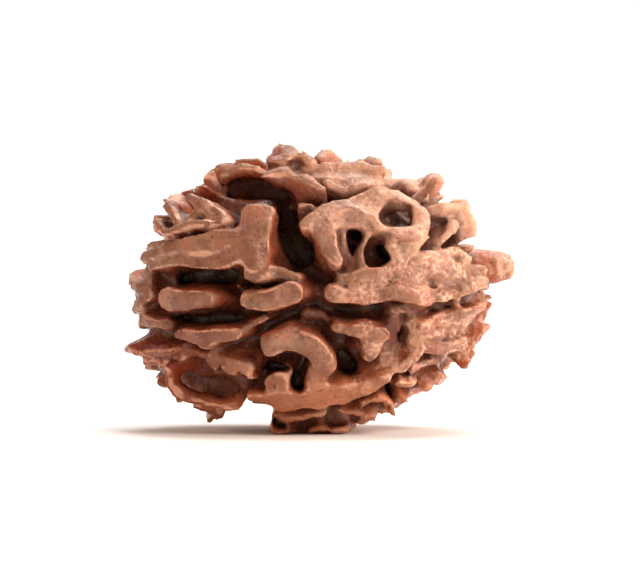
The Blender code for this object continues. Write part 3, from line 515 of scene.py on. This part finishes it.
def stone_field(points, ridge_strokes, pit_strokes, notch_strokes):
    """The stone's relief: negative inside, about a distance in millimetres near the surface."""
    wander = growth_noise(points, WANDER_CELL, WANDER_SEED) * WANDER
    points = points + wander + growth_noise(points, RIPPLE_CELL, RIPPLE_SEED) * RIPPLE
    height = bare_height(points) - outline_swell(points)
    above = onto_envelope(points)
    shrink = np.linalg.norm(points, axis=1) / np.linalg.norm(above, axis=1)
    floor_bumps, top_bumps, spread = growth_noise(points, BUMP_CELL, BUMP_SEED).T
    depth = GROOVE_DEPTH * (1.0 - RIM_FILL * rim_share(points))

    def ridge(near, side, level, width):
        top = level + TOP_BUMPS * top_bumps[near] - TOP_CROWN * np.clip(1.0 + side / width, 0.0, 1.0) ** 2
        rise = height[near] - top
        under = np.clip(-rise / depth[near], 0.0, 1.0)
        hollow = np.minimum(UNDERCUT, UNDERCUT_SHARE * width) * np.sin(np.pi * under)
        flare = ROOT_SPREAD * under**2
        wall = side * shrink[near] + hollow * (0.5 + 0.5 * spread[near]) - flare * (0.5 - 0.5 * spread[near])
        lip = LIP_HEIGHT * np.exp(-(((side + LIP_INSET) / LIP_WIDTH) ** 2))
        return blend_max(wall, rise - lip, TOP_ROUNDING)

    def notch(near, side, level, _):
        return blend_max(side * shrink[near], -(height[near] + level), PIT_ROUNDING)

    floor = height + depth + FLOOR_BUMPS * floor_bumps
    relief = blend_min(floor, joined(above, ridge_strokes, ridge), ROOT_FILLET)
    pits = np.minimum(sunk_pits(points, pit_strokes, spread),
                      sunk_pits(points * TURNED_OVER, pit_strokes, spread))
    pits = np.minimum(pits, joined(above, notch_strokes, notch))
    return blend_max(relief, -pits, PIT_ROUNDING) - crust_relief(points)


# How finely the field is sampled, how far the grid goes past the egg, and how far above it and below the
# groove floors the field is worked out, in millimetres
SAMPLE_STEP = 0.205
SAMPLE_MARGIN = 2.2
SAMPLE_BAND = 2.0


def connected(cells, start):
    """The cells that hang together with the one at start."""
    found = np.zeros_like(cells)
    found[start] = True
    count = 0
    while found.sum() > count:
        count = found.sum()
        spread = found.copy()
        for axis, way in itertools.product(range(3), (-1, 1)):
            spread |= np.roll(found, way, axis)
        found = spread & cells
    return found


def one_piece(values):
    """The field without loose scraps outside the stone and without sealed bubbles in it."""
    core = tuple(size // 2 for size in values.shape)
    values = np.where((values < 0.0) & ~connected(values < 0.0, core), FAR, values)
    return np.where((values >= 0.0) & ~connected(values >= 0.0, (0, 0, 0)), -FAR, values)


def sample_field(step):
    """The field on a grid round the stone, worked out only near its surface, and the grid's first corner."""
    half = ENVELOPE + SAMPLE_MARGIN
    axes = [np.arange(-size, size + step, step) for size in half]
    grid = np.stack(np.meshgrid(*axes, indexing="ij"), axis=-1)
    shape = grid.shape[:3]
    grid = grid.reshape(-1, 3)
    height = bare_height(grid) - outline_swell(grid)
    values = np.where(height < 0.0, -FAR, FAR)
    near = np.flatnonzero((height > -GROOVE_DEPTH - SAMPLE_BAND) & (height < SAMPLE_BAND))
    values[near] = stone_field(grid[near], all_ridges(), sunk_strokes(FACE_PITS), edge_strokes(EDGE_PITS))
    above_table = grid[:, 2] + CENTRE_HEIGHT
    canal = np.hypot(grid[:, 1], above_table - CANAL_HEIGHT) - CANAL_RADIUS
    cuts = np.maximum(-canal, -above_table).reshape(shape)
    return np.maximum(one_piece(values.reshape(shape)), cuts), np.array([axis[0] for axis in axes])


def field_surface(values, corner, step):
    """The field's zero surface as points and quads: one point in each cell that it crosses."""
    cells = np.array(values.shape) - 1
    sums = np.zeros((4, cells.prod()))
    quads = []
    for axis in range(3):
        low = np.take(values, range(cells[axis]), axis)
        high = np.take(values, range(1, cells[axis] + 1), axis)
        crossed = np.argwhere((low < 0.0) != (high < 0.0))
        at_low = low[tuple(crossed.T)]
        place = crossed.astype(float)
        place[:, axis] += at_low / (at_low - high[tuple(crossed.T)])
        second, third = (axis + 1) % 3, (axis + 2) % 3
        round_edge = []
        for back, aside in ((0, 0), (1, 0), (1, 1), (0, 1)):
            cell = crossed.copy()
            cell[:, second] -= back
            cell[:, third] -= aside
            number = np.ravel_multi_index(cell.T, cells)
            round_edge.append(number)
            for row in range(3):
                sums[row] += np.bincount(number, place[:, row], cells.prod())
            sums[3] += np.bincount(number, minlength=cells.prod())
        ring = np.stack(round_edge, axis=1)
        quads.append(np.where((at_low < 0.0)[:, None], ring, ring[:, ::-1]))
    quads = np.concatenate(quads)
    used, faces = np.unique(quads, return_inverse=True)
    points = corner + step * (sums[:3, used] / sums[3, used]).T
    return points, faces.reshape(-1, 4)


def mesh_object(name, points, faces):
    """A mesh object from points in millimetres."""
    mesh = bpy.data.meshes.new(name)
    mesh.from_pydata((points * METRES_PER_MM).tolist(), [], faces.tolist())
    made = bpy.data.objects.new(name, mesh)
    bpy.context.collection.objects.link(made)
    return made


def field_at(spots, values, corner, step):
    """The sampled field read between its grid points."""
    place = (spots - corner) / step
    base = np.floor(place).astype(int)
    part = place - base
    found = np.zeros(len(spots))
    for offset in itertools.product((0, 1), repeat=3):
        index = np.clip(base + offset, 0, np.array(values.shape) - 1)
        found += np.prod(np.where(offset, part, 1.0 - part), axis=1) * values[tuple(index.T)]
    return found


values, corner = sample_field(SAMPLE_STEP)
points, faces = field_surface(values, corner, SAMPLE_STEP)
stone = mesh_object("rudraksha_bead", points + (0.0, 0.0, CENTRE_HEIGHT), faces)
bpy.ops.object.select_all(action="DESELECT")
stone.select_set(True)
bpy.context.view_layer.objects.active = stone
evened = stone.modifiers.new("evened", "SMOOTH")
evened.factor = 0.5
evened.iterations = 1
bpy.ops.object.modifier_apply(modifier=evened.name)
bpy.ops.object.shade_smooth()

# Marks that the finish follows: how open the surface is to the light, which sets painted shade in the
# hollows, whether it is a crest that hands have rubbed or the thin edge of one, which gets a pale line that
# is partly painted highlight, how near it is to the girdle between the faces, where a glow is painted, and
# how deep it lies, counted in groove depths, which sets more painted shade. Reaches and heights are in
# millimetres, and each pair gives where a mark starts and where it is full.
LIGHT_REACHES = (0.5, 1.1, 2.2)
LIGHT_TILT = math.radians(55.0)
LIGHT_TURNS = 6
SKEW_WAY = (0.36, 0.48, 0.8)
CREST_FACING = (0.15, 0.65)
CREST_HEIGHT = (-1.5, -0.6)
# Where crest edges are thin enough to get a pale line that is partly wear and partly painted highlight
RIM_REACH = -0.4
RIM_THINNESS = (0.15, 0.27)
RIM_HEIGHT = (-1.0, -0.5)
RIM_FACING = 0.62
RIM_FACING_SPREAD = 0.36
DEEPEST_MARK = 2.0
spots = np.empty(len(stone.data.vertices) * 3)
stone.data.vertices.foreach_get("co", spots)
spots = spots.reshape(-1, 3) / METRES_PER_MM - (0.0, 0.0, CENTRE_HEIGHT)
normals = np.empty(len(spots) * 3)
stone.data.vertex_normals.foreach_get("vector", normals)
normals = normals.reshape(-1, 3)
aside = np.cross(normals, SKEW_WAY)
aside /= np.linalg.norm(aside, axis=1)[:, None]
across = np.cross(normals, aside)


def reached(distance, tilt=0.0, turn=0.0):
    """The field at a distance along each normal, or tilted from it, as a share of what a flat surface has."""
    way = normals * math.cos(tilt) + (aside * math.cos(turn) + across * math.sin(turn)) * math.sin(tilt)
    grown = field_at(spots + way * distance, values, corner, SAMPLE_STEP)
    return np.clip(grown / (distance * math.cos(tilt)), 0.0, 1.0)


tilts = [(0.0, 0.0), *[(LIGHT_TILT, turn * 2.0 * math.pi / LIGHT_TURNS) for turn in range(LIGHT_TURNS)]]
outward = spots / ENVELOPE**2
outward /= np.linalg.norm(outward, axis=1)[:, None]
facing = (normals * outward).sum(axis=1)
height = bare_height(spots) - outline_swell(spots)
shoulder = faded(np.abs(facing - RIM_FACING), RIM_FACING_SPREAD, 0.0) * faded(height, *RIM_HEIGHT)
marks = {
    "openness": np.mean([reached(way, *tilt) for way in LIGHT_REACHES for tilt in tilts], axis=0),
    "crest": faded(facing, *CREST_FACING) * faded(height, *CREST_HEIGHT),
    "rim_wear_and_highlight": shoulder * faded(1.0 - reached(RIM_REACH), *RIM_THINNESS),
    "girdle": rim_share(spots),
    "depth": np.clip(-height / GROOVE_DEPTH, 0.0, DEEPEST_MARK),
}
for name, mark in marks.items():
    stone.data.attributes.new(name, "FLOAT", "POINT").data.foreach_set("value", mark)


def linear(hex_colour):
    """An sRGB hex colour as linear RGBA."""
    parts = [int(hex_colour[i:i + 2], 16) / 255 for i in (1, 3, 5)]
    return (*[c / 12.92 if c <= 0.04045 else ((c + 0.055) / 1.055) ** 2.4 for c in parts], 1.0)


def add(tree, kind, settings=None, **links):
    """A node with its settings, and its inputs set to a value or linked to an output."""
    made = tree.nodes.new(kind)
    for name, value in (settings or {}).items():
        setattr(made, name, value)
    for name, value in links.items():
        socket = made.inputs[int(name[1:]) if name[1:].isdigit() else name.replace("_", " ")]
        if isinstance(value, bpy.types.NodeSocket):
            tree.links.new(value, socket)
        else:
            socket.default_value = value
    return made


# Rudraksha shell: lignin-rich wood, scrubbed and lightly oiled. Crests are rubbed to a satin brown with a
# pale line along their edges that is partly wear and partly painted highlight, flanks are a clear
# orange-brown with a painted glow at the thin girdle, and the grooves are darkened with painted shade and
# hold some old fruit.
# The end that faces right in front view keeps more of the dried fruit as a pale, rough crust, and its upper
# side gets a painted highlight.
SHELL_IOR = 1.42
OILED_ROUGHNESS = 0.16
DRY_ROUGHNESS = 0.5
shell = bpy.data.materials.new("oiled_seed_shell")
shell.use_nodes = True
tree = shell.node_tree
surface = tree.nodes["Principled BSDF"]
spot = add(tree, "ShaderNodeTexCoord").outputs["Object"]

# Clouds of noise, each with its size in millimetres, its detail, and the low and high value between which it
# fades in
CLOUD_ROUGHNESS = 0.58
CLOUDS = {
    "flank_tone": (1.3, 4.0, 0.36, 0.64),
    "warm_flank": (2.8, 3.0, 0.45, 0.66),
    "crest_tone": (0.9, 5.0, 0.36, 0.64),
    "rosy": (1.9, 4.0, 0.5, 0.68),
    "purple": (1.5, 5.0, 0.54, 0.7),
    "rubbed": (0.5, 4.0, 0.22, 0.5),
    "orange_patch": (2.3, 3.0, 0.46, 0.62),
    "pale_patch": (1.9, 4.0, 0.48, 0.64),
    "line_breaks": (1.5, 3.0, 0.34, 0.52),
    "crusty": (1.6, 6.0, 0.42, 0.6),
    "crust_grain": (0.28, 4.0, 0.42, 0.62),
    "specks": (0.16, 2.0, 0.64, 0.72),
    "pores": (0.45, 5.0, 0.58, 0.68),
    "gloss": (0.35, 4.0, 0.38, 0.6),
}
sources = []
for name, (size, detail, low, high) in CLOUDS.items():
    noise = add(tree, "ShaderNodeTexNoise", Vector=spot, Scale=1.0 / (size * METRES_PER_MM), Detail=detail,
                Roughness=CLOUD_ROUGHNESS)
    sources.append((name, noise.outputs["Fac"], low, high))

# The marks of the surface, with the low and high value between which each one fades in
MARK_FADES = {
    "worn": ("crest", 0.3, 0.85),
    # A pale line along thin crest edges, partly edge wear and partly painted highlight
    "line": ("rim_wear_and_highlight", 0.2, 0.8),
    # Painted glow where light would shine through the thin blades of the girdle
    "girdle_glow": ("girdle", 0.2, 1.0),
    # Painted shade where the surface is hidden from the light, deepest in the tightest hollows
    "painted_shade": ("openness", 0.72, 0.35),
    "deep_painted_shade": ("openness", 0.28, 0.08),
    # Painted shade that deepens with depth in the grooves
    "sunk": ("depth", 0.3, 0.85),
    "bottom": ("depth", 0.8, 1.4),
}
for name, (attribute, low, high) in MARK_FADES.items():
    carried = add(tree, "ShaderNodeAttribute", {"attribute_name": attribute})
    sources.append((name, carried.outputs["Fac"], low, high))

# Parts of the stone that differ in colour, or that get painted light or shade, with the axis and the places
# in millimetres between which each one fades in
PARTS = {
    "right_end": ("X", -4.0, 8.0),
    "left_end": ("X", -4.0, -9.0),
    # Where painted shade darkens the lower side
    "shaded_underside": ("Z", 8.5, 4.0),
    # Where painted light brightens the base
    "foot": ("Z", 5.0, 1.5),
    # Where a painted highlight lightens the upper side
    "lit_upper_side": ("Z", 9.0, 14.0),
}
axes = add(tree, "ShaderNodeSeparateXYZ", Vector=spot)
for name, (axis, low, high) in PARTS.items():
    sources.append((name, axes.outputs[axis], low * METRES_PER_MM, high * METRES_PER_MM))

fades = {}
for name, source, low, high in sources:
    fade = add(tree, "ShaderNodeMapRange", {"interpolation_type": "SMOOTHSTEP"}, Value=source, From_Min=low,
               From_Max=high)
    fades[name] = fade.outputs["Result"]

# Coats of colour over the ground, from the lowest up, some of them painted light or shade: how much of each
# there is at most, and what it is limited to
GROUND = "#6f3522"
COATS = [
    ("#944c33", 1.0, ["flank_tone"]),
    ("#a85228", 0.55, ["warm_flank"]),
    ("#5c2c28", 0.5, ["purple"]),
    # Painted orange glow of light through the thin edges at the girdle
    ("#b85212", 0.8, ["girdle_glow"]),
    ("#744733", 1.0, ["worn"]),
    ("#94684c", 0.9, ["worn", "rubbed", "crest_tone"]),
    ("#a88468", 0.6, ["worn", "pale_patch"]),
    ("#8a5138", 0.45, ["worn", "orange_patch"]),
    ("#a05642", 0.5, ["worn", "rosy"]),
    ("#633631", 0.5, ["worn", "purple"]),
    ("#b87456", 0.6, ["right_end", "crusty"]),
    ("#efc6aa", 0.7, ["right_end", "crusty", "crust_grain"]),
    ("#96402f", 0.5, ["right_end", "rosy"]),
    # Painted highlight on the upper right, broken up by the rubbed noise
    ("#f0c4a8", 0.45, ["right_end", "lit_upper_side", "rubbed"]),
    # Painted light: the base brightened and warmed where the lamps leave it in shade
    ("#c9754a", 0.55, ["foot"]),
    # Painted shade: the lower left end darker and deeper orange
    ("#7a2a04", 0.85, ["left_end", "shaded_underside"]),
    # Pale line along crest edges: partly edge wear, partly painted highlight
    ("#dba080", 0.8, ["line", "line_breaks"]),
    # Painted shade in the grooves: darker the deeper they lie and the less light reaches them
    ("#66301e", 0.6, ["sunk"]),
    ("#4a2314", 0.75, ["painted_shade"]),
    ("#2e1b0f", 0.75, ["bottom"]),
    ("#24150c", 0.8, ["deep_painted_shade"]),
    ("#5c4a30", 0.5, ["bottom", "crusty"]),
    ("#4a2018", 0.5, ["specks"]),
    ("#56261a", 0.55, ["pores"]),
]
colour = linear(GROUND)
for tint, most, limits in COATS:
    share = most
    for limit in limits:
        share = add(tree, "ShaderNodeMath", {"operation": "MULTIPLY"}, _0=share, _1=fades[limit]).outputs[0]
    mixed = add(tree, "ShaderNodeMix", {"data_type": "RGBA"}, _0=share, _6=colour, _7=linear(tint))
    colour = mixed.outputs[2]
tree.links.new(colour, surface.inputs["Base Color"])
gloss = add(tree, "ShaderNodeMapRange", Value=fades["gloss"], To_Min=OILED_ROUGHNESS, To_Max=DRY_ROUGHNESS)
tree.links.new(gloss.outputs["Result"], surface.inputs["Roughness"])
surface.inputs["IOR"].default_value = SHELL_IOR

# Fine relief, the grain of the shell and the bubbles of the crust: size and depth in millimetres, strength
FINE_RELIEF = [(0.5, 0.2, 0.6), (0.2, 0.1, 0.5)]
FINE_DETAIL = 6.0
relief = surface.inputs["Normal"]
for size, depth, strength in FINE_RELIEF:
    noise = add(tree, "ShaderNodeTexNoise", Vector=spot, Scale=1.0 / (size * METRES_PER_MM),
                Detail=FINE_DETAIL)
    bump = add(tree, "ShaderNodeBump", Strength=strength, Distance=depth * METRES_PER_MM,
               Height=noise.outputs["Fac"])
    tree.links.new(bump.outputs[0], relief)
    relief = bump.inputs["Normal"]
stone.data.materials.append(shell)
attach(stone, "root")
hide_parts("rudraksha_stone")

# The floor: a sheet of pale paper that lies under the stone and rises in a soft bend behind it, as in a small
# photo booth. It is no part of the bead.
SHEET_SIZE = 1.0
SHEET_PLACE = (0.0, -0.05, 0.0)
WALL_HEIGHT = 0.5
BEND_WIDTH = 0.12
BEND_STEPS = 16
bpy.ops.object.select_all(action="DESELECT")
bpy.ops.mesh.primitive_plane_add(size=SHEET_SIZE, location=SHEET_PLACE)
floor = bpy.context.object
floor.name = "paper_floor"
bpy.ops.object.mode_set(mode="EDIT")
bpy.ops.mesh.select_all(action="DESELECT")
bpy.ops.object.mode_set(mode="OBJECT")
for edge in floor.data.edges:
    edge.select = all(floor.data.vertices[i].co.y > 0.0 for i in edge.vertices)
bpy.ops.object.mode_set(mode="EDIT")
bpy.ops.mesh.select_mode(type="EDGE")
bpy.ops.mesh.extrude_region_move(TRANSFORM_OT_translate={"value": (0.0, 0.0, WALL_HEIGHT)})
bpy.ops.object.mode_set(mode="OBJECT")
bend = floor.modifiers.new("bend", "BEVEL")
bend.width = BEND_WIDTH
bend.segments = BEND_STEPS
bpy.ops.object.modifier_apply(modifier=bend.name)
bpy.ops.object.transform_apply(location=True, rotation=True, scale=True)
bpy.ops.object.shade_smooth()

# Uncoated white paper: its fibres scatter the light, so it shows a soft shadow and no glare
PAPER_COLOUR = "#f2f0ee"
PAPER_ROUGHNESS = 0.75
paper = bpy.data.materials.new("matt_white_paper")
paper.use_nodes = True
sheet = paper.node_tree.nodes["Principled BSDF"]
sheet.inputs["Base Color"].default_value = linear(PAPER_COLOUR)
sheet.inputs["Roughness"].default_value = PAPER_ROUGHNESS
floor.data.materials.append(paper)

# Soft studio light: the key from the upper right in front, one at each side a little behind the stone, one
# above, and one behind it that is turned to the paper


def soft_light(name, place, aim, size, power, colour):
    """A square lamp with a diffuser, turned to shine at a point."""
    bpy.ops.object.light_add(type="AREA", location=place)
    lamp = bpy.context.object
    lamp.name = name
    lamp.data.size = size
    lamp.data.energy = power
    lamp.data.color = linear(colour)[:3]
    away = np.array(place) - np.array(aim)
    flat = math.hypot(away[0], away[1])
    lamp.rotation_euler = (math.atan2(flat, away[2]), 0.0, math.atan2(away[0], -away[1]))


middle = (0.0, 0.0, 0.009)
wall_foot = (0.0, 0.42, 0.05)
soft_light("key_light", place=(0.17, -0.18, 0.19), aim=middle, size=0.12, power=0.68, colour="#fff0e2")
soft_light("left_light", place=(-0.24, -0.02, 0.1), aim=middle, size=0.1, power=0.2, colour="#ffc494")
soft_light("right_light", place=(0.24, -0.02, 0.1), aim=middle, size=0.12, power=0.5, colour="#fff0e4")
soft_light("top_light", place=(0.04, 0.06, 0.3), aim=middle, size=0.2, power=0.85, colour="#ffffff")
soft_light("paper_light", place=(0.0, 0.17, 0.3), aim=wall_foot, size=0.2, power=0.7, colour="#ffffff")

# The room gives a weak even fill
FILL_COLOUR = "#ffffff"
FILL_STRENGTH = 0.25
room = bpy.data.worlds.new("pale_room")
bpy.context.scene.world = room
room.use_nodes = True
fill = room.node_tree.nodes["Background"]
fill.inputs["Color"].default_value = linear(FILL_COLOUR)
fill.inputs["Strength"].default_value = FILL_STRENGTH
bpy.context.scene.view_settings.view_transform = "Standard"

# The camera faces the near face from a little above the floor, with a long lens. Its focal length and sensor
# are in millimetres.
CAMERA_DISTANCE = 0.3
CAMERA_RISE = math.radians(2.0)
CAMERA_AIM = np.array([0.0, 0.0, 0.00859])
LENS = 270.0
SENSOR = 36.0
NEAREST = 0.01
away = np.array([0.0, -math.cos(CAMERA_RISE), math.sin(CAMERA_RISE)])
bpy.ops.object.camera_add(location=CAMERA_AIM + away * CAMERA_DISTANCE,
                          rotation=(math.pi / 2 - CAMERA_RISE, 0.0, 0.0))
camera = bpy.context.object
camera.name = "photo_camera"
camera.data.lens = LENS
camera.data.sensor_width = SENSOR
camera.data.clip_start = NEAREST
bpy.context.scene.camera = camera
